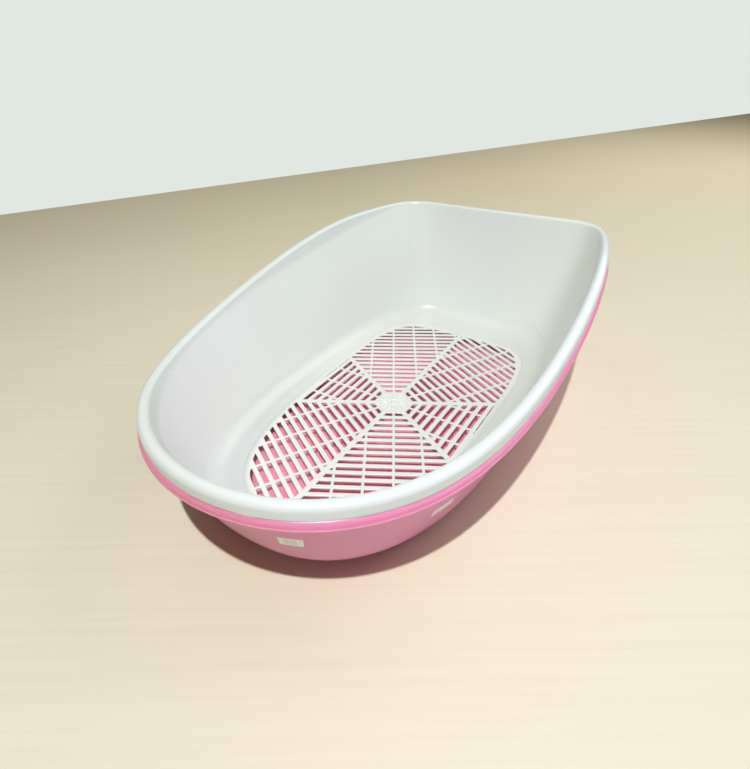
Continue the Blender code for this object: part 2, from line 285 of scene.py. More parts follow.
class Finish:
    """A Principled material with short calls for the nodes that feed it."""

    def __init__(self, name):
        self.material = bpy.data.materials.new(name)
        self.material.use_nodes = True
        self.tree = self.material.node_tree
        self.shader = self.tree.nodes["Principled BSDF"]
        self.place = self.tree.nodes.new("ShaderNodeTexCoord").outputs["Object"]

    def feed(self, node, socket, value):
        if isinstance(value, bpy.types.NodeSocket):
            self.tree.links.new(value, node.inputs[socket])
        else:
            node.inputs[socket].default_value = value

    def noise(self, scale, detail=2.0, place=None):
        """Soft random field from 0 to 1, scale in features per metre."""
        node = self.tree.nodes.new("ShaderNodeTexNoise")
        self.feed(node, "Vector", place or self.place)
        node.inputs["Scale"].default_value = scale
        node.inputs["Detail"].default_value = detail
        return node.outputs["Fac"]

    def stretched(self, scales, turn):
        """Object space turned and stretched, for marks with a direction."""
        node = self.tree.nodes.new("ShaderNodeMapping")
        self.feed(node, "Vector", self.place)
        node.inputs["Rotation"].default_value = turn
        node.inputs["Scale"].default_value = scales
        return node.outputs["Vector"]

    def along_grain(self, turn, length, width):
        """Object space for grain that runs level in the direction of a turn."""
        node = self.tree.nodes.new("ShaderNodeMapping")
        node.vector_type = "TEXTURE"
        self.feed(node, "Vector", self.place)
        node.inputs["Rotation"].default_value = (0.0, 0.0, turn)
        node.inputs["Scale"].default_value = (length, width, 1.0)
        return node.outputs["Vector"]

    def along(self, direction, start):
        """Distance of a point in one direction from a start."""
        offset = self.tree.nodes.new("ShaderNodeVectorMath")
        offset.operation = "SUBTRACT"
        self.feed(offset, 0, self.place)
        self.feed(offset, 1, start)
        node = self.tree.nodes.new("ShaderNodeVectorMath")
        node.operation = "DOT_PRODUCT"
        self.feed(node, 0, offset.outputs["Vector"])
        self.feed(node, 1, direction)
        return node.outputs["Value"]

    def spread(self, value, low, high, to_low=0.0, to_high=1.0):
        """Maps low..high onto to_low..to_high and stops there."""
        node = self.tree.nodes.new("ShaderNodeMapRange")
        self.feed(node, "Value", value)
        for socket, number in (("From Min", low), ("From Max", high), ("To Min", to_low), ("To Max", to_high)):
            node.inputs[socket].default_value = number
        return node.outputs["Result"]

    def height_share(self, low, high):
        """0 below one height and 1 above another."""
        node = self.tree.nodes.new("ShaderNodeSeparateXYZ")
        self.feed(node, "Vector", self.place)
        return self.spread(node.outputs["Z"], low, high)

    def sum(self, kind, first, second):
        node = self.tree.nodes.new("ShaderNodeMath")
        node.operation = kind
        self.feed(node, 0, first)
        self.feed(node, 1, second)
        return node.outputs["Value"]

    def mix(self, share, first, second):
        """A colour between two colours."""
        node = self.tree.nodes.new("ShaderNodeMix")
        node.data_type = "RGBA"
        self.feed(node, 0, share)
        self.feed(node, 6, first)
        self.feed(node, 7, second)
        return node.outputs[2]

    def bump(self, height, distance, under=None):
        """Surface relief; distance is the height in metres of a full step."""
        node = self.tree.nodes.new("ShaderNodeBump")
        node.inputs["Distance"].default_value = distance
        self.feed(node, "Height", height)
        if under:
            self.feed(node, "Normal", under)
        return node.outputs["Normal"]

    def surface(self, **values):
        for socket, value in values.items():
            self.feed(self.shader, socket.replace("_", " "), value)
        return self.material

# %% [markdown]
# ### White plastic
# The white is a cool, faintly green plastic. Light and shade are painted into it: the floor is
# painted darker than the walls, as painted shade, and the rim a cooler tint, as painted cool
# light, so the tint follows the height. The right wall is painted lighter, the right floor and
# the left rim darker. Towards the low front the skin has a painted lilac glow from the pink pan
# behind it. Sparse scratches are lighter and rougher than the rest.

# %% White plastic
# Painted light and shade: the floor colours are painted darker than the walls, the right wall lighter, the
# right floor and left rim darker, the rim cooler.
WHITE_FLOOR_BACK_SHADE = (0.685, 0.715, 0.685, 1.0)
WHITE_FLOOR_FRONT_SHADE = (0.535, 0.552, 0.562, 1.0)
WHITE_FLOOR_RIGHT_SHADE = (0.575, 0.602, 0.560, 1.0)
WHITE_WALL = (0.755, 0.800, 0.790, 1.0)
WHITE_WALL_RIGHT_LIGHT = (0.830, 0.875, 0.820, 1.0)
WHITE_RIM_COOL_LIGHT = (0.735, 0.797, 0.840, 1.0)
WHITE_RIM_LEFT_SHADE = (0.668, 0.712, 0.703, 1.0)
WHITE_LILAC_GLOW = (0.795, 0.798, 0.835, 1.0)
WHITE_RUBBED = (0.86, 0.88, 0.90, 1.0)
PANEL_WHITE = (0.690, 0.702, 0.688, 1.0)
SIEVE_PALE = (0.735, 0.755, 0.745, 1.0)
PLASTIC_IOR = 1.49
RIM_SLOPE = (BACK_RIM_HEIGHT - FRONT_RIM_HEIGHT) / 0.353
RIM_LINE_HEIGHT = rim_height(0.0)


def rubbed_marks(finish):
    """Sparse short scuffs: streaks of stretched noise, kept only in a few soft patches."""
    patches = finish.spread(finish.noise(9.0, 1.0), 0.60, 0.75)
    streaks = finish.spread(
        finish.noise(1.0, 1.0, finish.stretched((400.0, 60.0, 90.0), (0.3, 0.5, 0.8))), 0.60, 0.80)
    return finish.sum("MULTIPLY", patches, streaks)


def moulded_relief(finish, ripple_height):
    """The slow ripple of a moulded wall and its fine skin."""
    ripple = finish.bump(finish.noise(11.0, 1.0), ripple_height)
    return finish.bump(finish.noise(700.0, 1.0), 0.000002, ripple)


def plastic_gloss(finish, gloss):
    """Roughness that wanders a little."""
    return finish.spread(finish.noise(14.0, 2.0), 0.3, 0.7, gloss, gloss + 0.05)


def side_shading_share(finish, start, end):
    """Share that grows from left to right between two distances from the hub, for painted light and shade that
    differ between the sides.
    """
    return finish.spread(finish.along(Vector((1.0, 0.0, 0.0)), HUB_PLACE), start, end)


def painted_floor_shade(finish):
    """Share of painted shade on the floor, growing towards the low front."""
    return finish.spread(finish.along(Vector((0.2, -0.98, 0.0)), HUB_PLACE), -0.08, 0.08)


def pan_painted_shading(finish):
    """The pan's colour with painted light and shade: darker floor, cooler rim, lighter right wall, darker
    right floor and left rim, and a painted lilac glow towards the low front.
    """
    # A painted lilac glow towards the low front stands in for pink light coming through from the tray.
    frontness = finish.spread(finish.along(Vector((-0.5, -0.87, 0.0)), HUB_PLACE), 0.05, 0.20)
    # Painted light on the right wall and painted shade on the right floor.
    painted_side_share = side_shading_share(finish, 0.02, 0.11)
    wall = finish.mix(painted_side_share, finish.mix(frontness, WHITE_WALL, WHITE_LILAC_GLOW), WHITE_WALL_RIGHT_LIGHT)
    # The floor is painted darker than the walls, more so towards the front: painted shade.
    painted_shade_floor = finish.mix(painted_floor_shade(finish), WHITE_FLOOR_BACK_SHADE, WHITE_FLOOR_FRONT_SHADE)
    floor = finish.mix(painted_side_share, painted_shade_floor, WHITE_FLOOR_RIGHT_SHADE)
    floor_to_wall = finish.mix(finish.height_share(0.013, 0.030), floor, wall)
    over_rim_line = finish.along(Vector((0.0, -RIM_SLOPE, 1.0)), Vector((0.0, 0.0, RIM_LINE_HEIGHT)))
    # The rim is painted a cooler tint as painted cool light, and darker on the left as painted shade.
    rim = finish.mix(side_shading_share(finish, 0.0, 0.07), WHITE_RIM_LEFT_SHADE, WHITE_RIM_COOL_LIGHT)
    return finish.mix(finish.spread(over_rim_line, -0.014, -0.008), floor_to_wall, rim)


def white_plastic(name, gloss):
    finish = Finish(name)
    marks = rubbed_marks(finish)
    drift = finish.spread(finish.noise(5.0, 1.0), 0.35, 0.65, 0.0, 0.25)
    body = finish.mix(drift, pan_painted_shading(finish), PANEL_WHITE)
    colour = finish.mix(finish.spread(marks, 0.0, 1.0, 0.0, 0.5), body, WHITE_RUBBED)
    finish.shader.inputs["IOR"].default_value = PLASTIC_IOR
    return finish.surface(Base_Color=colour, Roughness=plastic_gloss(finish, gloss),
                          Normal=moulded_relief(finish, 0.00030))

# %% [markdown]
# ### Sieve plastic
# On the real panel the bars run on across the six spokes as shallow ridges that meet like
# herringbone. The ridges are a wave along the axis of each sector, kept only on the spokes.

# %% Sieve plastic
SLOT_PITCH = 0.0090
SPOKE_WIDTH = 0.60 * SLOT_PITCH
FIRST_SLOT_SHARE = 2.35
SECTORS = 6
RIDGE_HEIGHT = 0.00028


def spoke_ridges(finish):
    """Wave of the bars' ridges, 0 to 1, faded out beside the spokes."""
    across = finish.along(Vector((1.0, 0.0, 0.0)), HUB_PLACE)
    ahead = finish.along(Vector((0.0, 1.0, 0.0)), HUB_PLACE)
    distance = finish.sum("SQRT", finish.sum("ADD", finish.sum("MULTIPLY", across, across),
                                             finish.sum("MULTIPLY", ahead, ahead)), 0.0)
    angle = finish.sum("ARCTAN2", ahead, across)
    sector = 2 * pi / SECTORS
    nearest = finish.sum("MULTIPLY", finish.sum("ROUND", finish.sum("DIVIDE", angle, sector), 0.0), sector)
    inside = finish.sum("ABSOLUTE", finish.sum("SUBTRACT", angle, nearest), 0.0)
    along_axis = finish.sum("MULTIPLY", distance, finish.sum("COSINE", inside, 0.0))
    to_spoke = finish.sum("MULTIPLY", distance,
                          finish.sum("SINE", finish.sum("SUBTRACT", sector / 2, inside), 0.0))
    phase = finish.sum("SUBTRACT", finish.sum("DIVIDE", along_axis, SLOT_PITCH), FIRST_SLOT_SHARE)
    wave = finish.spread(finish.sum("COSINE", finish.sum("MULTIPLY", phase, 2 * pi), 0.0), -1.0, 1.0, 1.0, 0.0)
    on_spoke = finish.spread(to_spoke, SPOKE_WIDTH * 0.35, SPOKE_WIDTH * 0.60, 1.0, 0.0)
    past_hub = finish.spread(distance, SLOT_PITCH * 1.9, SLOT_PITCH * 2.2)
    return finish.sum("MULTIPLY", wave, finish.sum("MULTIPLY", on_spoke, past_hub))


def beyond_slots(finish):
    """Share outwards from the slotted field's front edge, by the power curve of its outline."""
    field = sieve_outline(0)
    centre = Vector((0.0, WIDEST_Y, 0.0))
    total = 0.0
    for direction in (Vector((1 / field.half_width, 0, 0)), Vector((0, 1 / field.front, 0))):
        reach = finish.sum("ABSOLUTE", finish.along(direction, centre), 0.0)
        total = finish.sum("ADD", finish.sum("POWER", reach, field.front_power), total)
    return finish.spread(total, 1.0, 1.08)


def sieve_plastic(name, gloss):
    finish = Finish(name)
    mottle = finish.spread(finish.noise(60.0, 2.0), 0.3, 0.7, 0.0, 0.35)
    # Outside the slots the panel takes the floor's painted shade towards the front.
    border_shade = finish.sum("MULTIPLY", beyond_slots(finish), painted_floor_shade(finish))
    colour = finish.mix(border_shade, finish.mix(mottle, PANEL_WHITE, SIEVE_PALE), WHITE_FLOOR_FRONT_SHADE)
    relief = finish.bump(spoke_ridges(finish), RIDGE_HEIGHT, moulded_relief(finish, 0.00010))
    finish.shader.inputs["IOR"].default_value = PLASTIC_IOR
    return finish.surface(Base_Color=colour, Roughness=plastic_gloss(finish, gloss), Normal=relief)

# %% [markdown]
# ### Pink plastic
# The pink is the same kind of plastic with a strong pigment. It is mottled finely, never flat.
# Its left side is painted duller, as painted shade, and its floor lighter, as painted light.

# %% Pink plastic
# The left colour is painted shade.
PINK_LEFT_SHADE = (0.720, 0.245, 0.380, 1.0)
PINK_DEEP = (0.850, 0.250, 0.475, 1.0)
PINK_BRIGHT = (0.845, 0.280, 0.502, 1.0)
# The floor colour is painted light, seen through the slots.
PINK_FLOOR_LIGHT = (0.970, 0.330, 0.430, 1.0)
PINK_GLOW = 0.8
PINK_GLOW_REACH = 0.006


def pink_plastic(name, gloss):
    finish = Finish(name)
    drift = finish.spread(finish.noise(6.0, 2.0), 0.35, 0.65)
    mottle = finish.spread(finish.noise(160.0, 3.0), 0.3, 0.7, -0.15, 0.15)
    mottled = finish.mix(finish.sum("ADD", drift, mottle), PINK_DEEP, PINK_BRIGHT)
    # The left side is painted duller: painted shade.
    body = finish.mix(side_shading_share(finish, 0.02, 0.085), PINK_LEFT_SHADE, mottled)
    # The lowest few millimetres, the tray's floor, are painted lighter: painted light under the slots.
    colour = finish.mix(finish.height_share(0.005, 0.002), body, PINK_FLOOR_LIGHT)
    finish.shader.inputs["IOR"].default_value = PLASTIC_IOR
    finish.shader.inputs["Subsurface Weight"].default_value = PINK_GLOW
    finish.shader.inputs["Subsurface Radius"].default_value = (1.0, 1.0, 1.0)
    finish.shader.inputs["Subsurface Scale"].default_value = PINK_GLOW_REACH
    return finish.surface(Base_Color=colour, Roughness=plastic_gloss(finish, gloss),
                          Normal=moulded_relief(finish, 0.00018))


white = white_plastic("white_plastic", 0.21)
pink = pink_plastic("pink_plastic", 0.30)
panel_white = sieve_plastic("sieve_plastic", 0.30)
print("finishes", white.name, pink.name, panel_white.name)

# %% [markdown]
# ## The white pan
# A thin shell: the floor with a recess for the sieve, a soft corner, a leaning wall, a rolled
# rim and a skirt that hides the tray's lip. The trimmed edge of the skirt is not perfect on the
# real pan, so a few millimetres of it are left ragged.

# %% Build the pan
PAN_STATIONS = 640
EDGE_RADIUS = 0.0004
SKIRT_DROP = 0.0004
PANEL_BORDER = 0.0050
LEDGE_MARGIN = 0.0012
Ragged = namedtuple("Ragged", "start end drop")
RAGGED_EDGES = [
    Ragged(radians(-80.0), radians(-74.5), 0.0009),
    Ragged(radians(-66.6), radians(-65.7), 0.0014),
    Ragged(radians(-31.8), radians(-27.1), 0.0010),
]


def ragged_drop(angle):
    """How far the skirt's trimmed edge hangs down at one place."""
    turned = (angle + pi) % (2 * pi) - pi
    drop = 0.0
    for ragged in RAGGED_EDGES:
        share = (turned - ragged.start) / (ragged.end - ragged.start)
        if 0 < share < 1:
            wobble = 0.6 + 0.4 * sin(share * 19.0) * cos(share * 43.0)
            drop = ragged.drop * wobble * min(1.0, 6 * share, 6 * (1 - share))
    return drop


def pan_section(wall):
    """One closed slice of the pan, from the recess edge over the rim and back underneath."""
    inner = wall.reach - BEAD_WIDTH
    under = wall.top - WALL
    floor_under = SIEVE_TOP_HEIGHT - WALL
    ledge_under = LEDGE_TOP - WALL
    skirt = wall.top - BEAD_DEPTH - ragged_drop(wall.angle)
    recess = outline_point(sieve_outline(PANEL_BORDER + SEAT_GAP), wall.angle)
    recess_outer = outline_point(sieve_outline(PANEL_BORDER + SEAT_GAP + WALL), wall.angle)
    opening = outline_point(sieve_outline(LEDGE_MARGIN), wall.angle)
    floor_start = -(recess - wall.foot).length
    corners = [
        Corner(floor_start, SIEVE_TOP_HEIGHT, 0),
        Corner(0.0, SIEVE_TOP_HEIGHT, wall.pan_fillet),
        Corner(inner, wall.top, BEAD_RADIUS),
        Corner(wall.reach, wall.top, BEAD_RADIUS),
        Corner(wall.reach, skirt - SKIRT_DROP, EDGE_RADIUS),
        Corner(wall.reach - WALL, skirt, EDGE_RADIUS),
        Corner(wall.reach - WALL, under, BEAD_RADIUS - WALL),
        Corner(wall.face(under, WALL), under, 0),
        Corner(wall.face(floor_under, WALL), floor_under, wall.pan_fillet + WALL),
        Corner(floor_start, floor_under, 0),
    ]
    upper = [wall.place(*point) for point in rounded(corners)][1:-1]
    return (
        [Vector((*recess, SIEVE_TOP_HEIGHT))]
        + upper
        + [Vector((*recess_outer, floor_under)), Vector((*recess_outer, ledge_under))]
        + [Vector((*opening, ledge_under)), Vector((*opening, LEDGE_TOP))]
        + [Vector((*recess, LEDGE_TOP))]
    )


pan_slices = [pan_section(Wall(angle)) for angle in station_angles(RIM, PAN_STATIONS)]
pan = skinned("white_pan", pan_slices, True, white)
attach(pan, "pan")
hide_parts("sifting_pan")

# %% [markdown]
# ## The pink tray
# The same plan again, a nesting gap further out, down to the table. Its lip turns out and down
# and ends in a fine raised hem that catches the light as a thin line.

# %% Build the tray
TRAY_STATIONS = 640
LIP_PROUD = 0.0020
LIP_RADIUS = 0.0035
LIP_DEPTH = 0.0068
LIP_INNER_RADIUS = 0.0015
HEM_PROUD = 0.0004
HEM_HEIGHT = 0.0015
HEM_RADIUS = 0.0002


def tray_section(wall):
    """One open slice of the tray, from its floor over the lip and down to the table."""
    inner = WALL + NEST_GAP
    lip_top = wall.top - BEAD_DEPTH - SEAT_GAP
    lip_under = lip_top - WALL
    lip_edge = wall.reach + LIP_PROUD
    lip_face = lip_edge - HEM_PROUD
    hem_top = lip_top - LIP_DEPTH + HEM_HEIGHT
    corners = [
        Corner(-wall.reach, WALL, 0),
        Corner(wall.face(WALL, inner), WALL, wall.tray_fillet),
        Corner(wall.face(lip_top, inner), lip_top, LIP_INNER_RADIUS),
        Corner(lip_face, lip_top, LIP_RADIUS),
        Corner(lip_face, hem_top, HEM_RADIUS),
        Corner(lip_edge, hem_top - HEM_PROUD, HEM_RADIUS),
        Corner(lip_edge, lip_top - LIP_DEPTH, HEM_RADIUS),
        Corner(lip_edge - WALL, lip_top - LIP_DEPTH, EDGE_RADIUS),
        Corner(lip_edge - WALL, lip_under, LIP_RADIUS - WALL),
        Corner(wall.face(lip_under, inner + WALL), lip_under, 0),
        Corner(wall.face(0.0, inner + WALL), 0.0, wall.tray_fillet + WALL),
        Corner(-wall.reach, 0.0, 0),
    ]
    return [wall.place(*point) for point in rounded(corners)][1:-1]


tray_slices = [tray_section(Wall(angle)) for angle in station_angles(RIM, TRAY_STATIONS)]
tray = skinned("pink_tray", tray_slices, False, pink)
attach(tray, "tray")
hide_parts("base_tray")

# %% [markdown]
# ## The sieve
# Six sectors of slots meet at a hub, like a cut orange. Every slot is first a flat polygon:
# a strip clipped by the ribs, the spokes and the outer edge. Boolean cuts would take minutes and
# leave hard edges, so each slot is drawn as rings instead. The rings round the bar's shoulder
# from the level top down into the slot, and the top face is filled between them.

# %% Slot polygons
HUB = HUB_PLACE.xy
SLOT_WIDTH = 0.50 * SLOT_PITCH
RIB_WIDTH = 0.30 * SLOT_PITCH
RIB_SPACING = 2.93 * SLOT_PITCH
SMALLEST_SLOT = 0.22 * SLOT_WIDTH ** 2
EDGE_STATIONS = 48


def clipped(polygon, edge_point, inward):
    """The part of a flat convex polygon on the inward side of a line."""
    kept = []
    for i, end in enumerate(polygon):
        start = polygon[i - 1]
        start_in = (start - edge_point).dot(inward)
        end_in = (end - edge_point).dot(inward)
        if start_in * end_in < 0:
            kept.append(start.lerp(end, start_in / (start_in - end_in)))
        if end_in >= 0:
            kept.append(end)
    return kept


def polygon_area(polygon):
    total = 0.0
    for i, end in enumerate(polygon):
        start = polygon[i - 1]
        total += start.x * end.y - start.y * end.x
    return total / 2


def inward_edges(points):
    """Each side of a closed outline as a point on it and the direction into the outline."""
    edges = []
    for i, end in enumerate(points):
        along = (end - points[i - 1]).normalized()
        edges.append((end, Vector((-along.y, along.x))))
    return edges


def sector_slots(axis_angle, edge):
    """The slots of one sixth of the sieve: rows across the sector's axis, cut by its ribs."""
    axis = Vector((cos(axis_angle), sin(axis_angle)))
    side = Vector((-axis.y, axis.x))
    half_sector = pi / SECTORS
    slots = []
    for row in range(int((FLOOR_FRONT_REACH + FLOOR_BACK_REACH) / SLOT_PITCH)):
        middle = SLOT_PITCH * (FIRST_SLOT_SHARE + row)
        cells = int(middle * tan(half_sector) / RIB_SPACING) + 1
        for cell in range(-cells, cells):
            low = RIB_SPACING * cell + RIB_WIDTH / 2
            high = RIB_SPACING * (cell + 1) - RIB_WIDTH / 2
            shape = [HUB + axis * (middle + a * SLOT_WIDTH / 2) + side * b
                     for a, b in ((-1, low), (1, low), (1, high), (-1, high))]
            for sign in (-1, 1):
                turn = axis_angle + sign * half_sector
                spoke_side = Vector((sin(turn), -cos(turn))) * sign
                shape = clipped(shape, HUB + spoke_side * SPOKE_WIDTH / 2, spoke_side)
            for point, inward in edge:
                shape = clipped(shape, point, inward)
            if abs(polygon_area(shape)) > SMALLEST_SLOT:
                slots.append(shape)
    return slots


slot_edge_outline = sieve_outline(0)
slot_edge = inward_edges([outline_point(slot_edge_outline, angle)
                          for angle in station_angles(slot_edge_outline, EDGE_STATIONS)])
slots = []
for sector in range(SECTORS):
    slots += sector_slots(2 * pi * sector / SECTORS, slot_edge)
print("slots", len(slots))

# %% [markdown]
# A ring is the slot's outline moved outwards by some distance, with its corners turned in arcs.
# Moving every side out and rounding each corner about the same centre keeps all rings of a slot
# matched point for point, so the faces between them are clean four-sided strips.

# %% Rings round a slot
SLOT_CORNER = 0.0005
SHOULDER = 0.0008
LOWER_SHOULDER = 0.0004
CORNER_STEP = radians(24)
SHOULDER_STEPS = 5
SHORTEST_SIDE = 0.0005
SLIGHTEST_TURN = radians(4)
ARC_SHARE = 0.9


def turn_at(polygon, i):
    """How far a polygon turns at one of its corners."""
    along_in = polygon[i] - polygon[i - 1]
    along_out = polygon[(i + 1) % len(polygon)] - polygon[i]
    return along_in.angle(along_out)


def tidy_polygon(polygon):
    """Counter-clockwise, without sides too short to round or corners too slight to see."""
    points = polygon if polygon_area(polygon) > 0 else polygon[::-1]
    kept = []
    for point in points:
        if not kept or (point - kept[-1]).length > SHORTEST_SIDE:
            kept.append(point)
    while (kept[0] - kept[-1]).length < SHORTEST_SIDE:
        kept.pop()
    return [point for i, point in enumerate(kept) if turn_at(kept, i) > SLIGHTEST_TURN]


def corner_radius(polygon):
    """The radius of a slot's corners, small enough that the arcs fit on its shortest side."""
    spans = [tan(turn_at(polygon, i) / 2) for i in range(len(polygon))]
    fits = [(point - polygon[i - 1]).length / (spans[i - 1] + spans[i]) for i, point in enumerate(polygon)]
    return min(SLOT_CORNER, ARC_SHARE * min(fits))


def slot_ring(polygon, margin):
    """The slot's outline moved out by a margin, its corners turned as arcs."""
    radius = corner_radius(polygon)
    ring = []
    count = len(polygon)
    for i, here in enumerate(polygon):
        along_in = (here - polygon[i - 1]).normalized()
        along_out = (polygon[(i + 1) % count] - here).normalized()
        out_in = Vector((along_in.y, -along_in.x))
        out_out = Vector((along_out.y, -along_out.x))
        bisector = out_in + out_out
        centre = here - bisector * (radius / (1 + out_in.dot(out_out)))
        steps = max(1, ceil(turn_at(polygon, i) / CORNER_STEP))
        for step in range(steps + 1):
            share = step / steps
            normal = (out_in * (1 - share) + out_out * share).normalized()
            ring.append(centre + normal * (radius + margin))
    return ring


def shoulder_rings(polygon):
    """Rings from the level top of the bars round their shoulders to the panel's underside."""
    rings = []
    turns = [pi / 2 * step / SHOULDER_STEPS for step in range(SHOULDER_STEPS + 1)]
    for turn in turns:
        rings.append((SHOULDER * (1 - sin(turn)), SIEVE_TOP_HEIGHT - SHOULDER * (1 - cos(turn))))
    for turn in turns[::-1]:
        height = SIEVE_TOP_HEIGHT - PANEL_THICKNESS + LOWER_SHOULDER * (1 - cos(turn))
        rings.append((LOWER_SHOULDER * (1 - sin(turn)), height))
    return [[Vector((point.x, point.y, height)) for point in slot_ring(polygon, margin)]
            for margin, height in rings]


# %% [markdown]
# The hub is a small disc with a sunburst of shallow petals round it. It is a round patch of
# rings whose height follows a formula, set into the top face like one more loop.

# %% Build the sieve
PANEL_STATIONS = 320
SEAM = 0.0001
HUB_RADIUS = 1.78 * SLOT_PITCH
HUB_RINGS = 44
HUB_STATIONS = 256
PETALS = 16
PETAL_HEIGHT = 0.0009


def hub_height(distance, angle):
    """Height of the sunburst above the bars' tops; it is nowhere above the panel's top."""
    r = distance / SLOT_PITCH
    petal = 0.5 + 0.5 * cos(PETALS * angle)
    window = smooth_share(r, 0.62, 0.85) * (1 - smooth_share(r, 1.50, 1.75))
    disc_groove = smooth_share(r, 0.36, 0.46) * (1 - smooth_share(r, 0.50, 0.60))
    return -PETAL_HEIGHT * (window * (1 - petal) + disc_groove)


def build_sieve(material):
    shape = bmesh.new()
    outline = sieve_outline(PANEL_BORDER + SEAT_GAP - SEAM)
    border = [Vector((*outline_point(outline, angle), SIEVE_TOP_HEIGHT))
              for angle in station_angles(RIM, PANEL_STATIONS)]
    slot_loops = [shoulder_rings(tidy_polygon(slot)) for slot in slots]
    hub_rings = []
    for ring in range(HUB_RINGS, 0, -1):
        distance = HUB_RADIUS * ring / HUB_RINGS
        hub_rings.append([Vector((HUB.x + distance * cos(2 * pi * i / HUB_STATIONS),
                                  HUB.y + distance * sin(2 * pi * i / HUB_STATIONS),
                                  SIEVE_TOP_HEIGHT + hub_height(distance, 2 * pi * i / HUB_STATIONS)))
                          for i in range(HUB_STATIONS)])

    def row(points):
        return [shape.verts.new(point) for point in points]

    def loop_edges(verts):
        return [shape.edges.new((verts[i - 1], vert)) for i, vert in enumerate(verts)]

    def strip(upper, lower):
        for i in range(len(upper)):
            shape.faces.new((upper[i - 1], upper[i], lower[i], lower[i - 1]))

    border_top = row(border)
    border_low = row([point - Vector((0, 0, PANEL_THICKNESS)) for point in border])
    hub_rows = [row(ring) for ring in hub_rings]
    slot_rows = [[row(ring) for ring in rings] for rings in slot_loops]
    top_edges = loop_edges(border_top) + loop_edges(hub_rows[0])
    low_edges = loop_edges(border_low)
    for rings in slot_rows:
        top_edges += loop_edges(rings[0])
        low_edges += loop_edges(rings[-1])
    bmesh.ops.triangle_fill(shape, use_beauty=True, edges=top_edges, normal=(0, 0, 1))
    bmesh.ops.triangle_fill(shape, use_beauty=True, edges=low_edges, normal=(0, 0, 1))
    ring_of = {vert: 0 for vert in hub_rows[0]}
    for number, rings in enumerate(slot_rows, start=1):
        ring_of.update({vert: number for vert in rings[0] + rings[-1]})
    covers = [face for face in shape.faces
              if len({ring_of.get(vert, vert) for vert in face.verts}) == 1]
    bmesh.ops.delete(shape, geom=covers, context="FACES_ONLY")
    strip(border_top, border_low)
    for rings in slot_rows:
        for upper, lower in zip(rings, rings[1:]):
            strip(upper, lower)
    for upper, lower in zip(hub_rows, hub_rows[1:]):
        strip(upper, lower)
    middle = shape.verts.new((HUB.x, HUB.y, SIEVE_TOP_HEIGHT))
    inner = hub_rows[-1]
    for i in range(HUB_STATIONS):
        shape.faces.new((inner[i - 1], inner[i], middle))
    bmesh.ops.recalc_face_normals(shape, faces=shape.faces)
    loose = [edge for edge in shape.edges if len(edge.link_faces) != 2]
    print("sieve edges that are not between two faces:", len(loose))
    mesh = bpy.data.meshes.new("sieve")
    shape.to_mesh(mesh)
    shape.free()
    mesh.shade_smooth()
    mesh.set_sharp_from_angle(angle=radians(50))
    mesh.materials.append(material)
    piece = bpy.data.objects.new("sieve", mesh)
    bpy.context.scene.collection.objects.link(piece)
    weighted = piece.modifiers.new("level top", "WEIGHTED_NORMAL")
    weighted.keep_sharp = True
    print("sieve has", len(mesh.vertices), "points and", len(mesh.polygons), "faces")
    return piece


sieve = build_sieve(panel_white)
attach(sieve, "pan")
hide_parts("sieve_panel")

# %% [markdown]
# ## The labels
# Two small paper labels are stuck on the tray's wall. They stay bare: a white border round a
# plain tinted field. Each one follows the wall's curve, so it is drawn with the wall's sections.

# %% Build the labels
PAPER = (0.93, 0.93, 0.90, 1.0)
FIELD = (0.80, 0.74, 0.73, 1.0)
LABEL_COLUMNS = 24
LABEL_ROWS = 6
LABEL_RELIEF = 0.0004
BORDER = 0.0018
BORDER_SOFTNESS = 0.0004
Label = namedtuple("Label", "node slot angle drop width height")
LABELS = [
    Label("label_front", "front_label_paper", radians(-71.3), 0.0541, 0.0134, 0.0122),
    Label("label_side", "side_label_paper", radians(-37.3), 0.0630, 0.0195, 0.0080),
]


def label_paper(label, centre, tangent):
    """White paper with fibres, and a plain tinted field inside a border."""
    finish = Finish(label.node + "_paper")
    fibre = finish.noise(1400.0, 4.0)
    across = finish.sum("ABSOLUTE", finish.along(tangent, centre), 0.0)
    up = finish.sum("ABSOLUTE", finish.along(Vector((0, 0, 1)), centre), 0.0)
    inside_across = finish.spread(across, label.width / 2 - BORDER, label.width / 2 - BORDER - BORDER_SOFTNESS)
    inside_up = finish.spread(up, label.height / 2 - BORDER, label.height / 2 - BORDER - BORDER_SOFTNESS)
    field = finish.sum("MULTIPLY", inside_across, inside_up)
    worn = finish.sum("MULTIPLY", field, finish.spread(finish.noise(900.0, 2.0), 0.3, 0.6, 0.5, 1.0))
    return finish.surface(Base_Color=finish.mix(worn, PAPER, FIELD),
                          Roughness=finish.spread(fibre, 0.3, 0.7, 0.5, 0.7),
                          Normal=finish.bump(fibre, 0.00004))


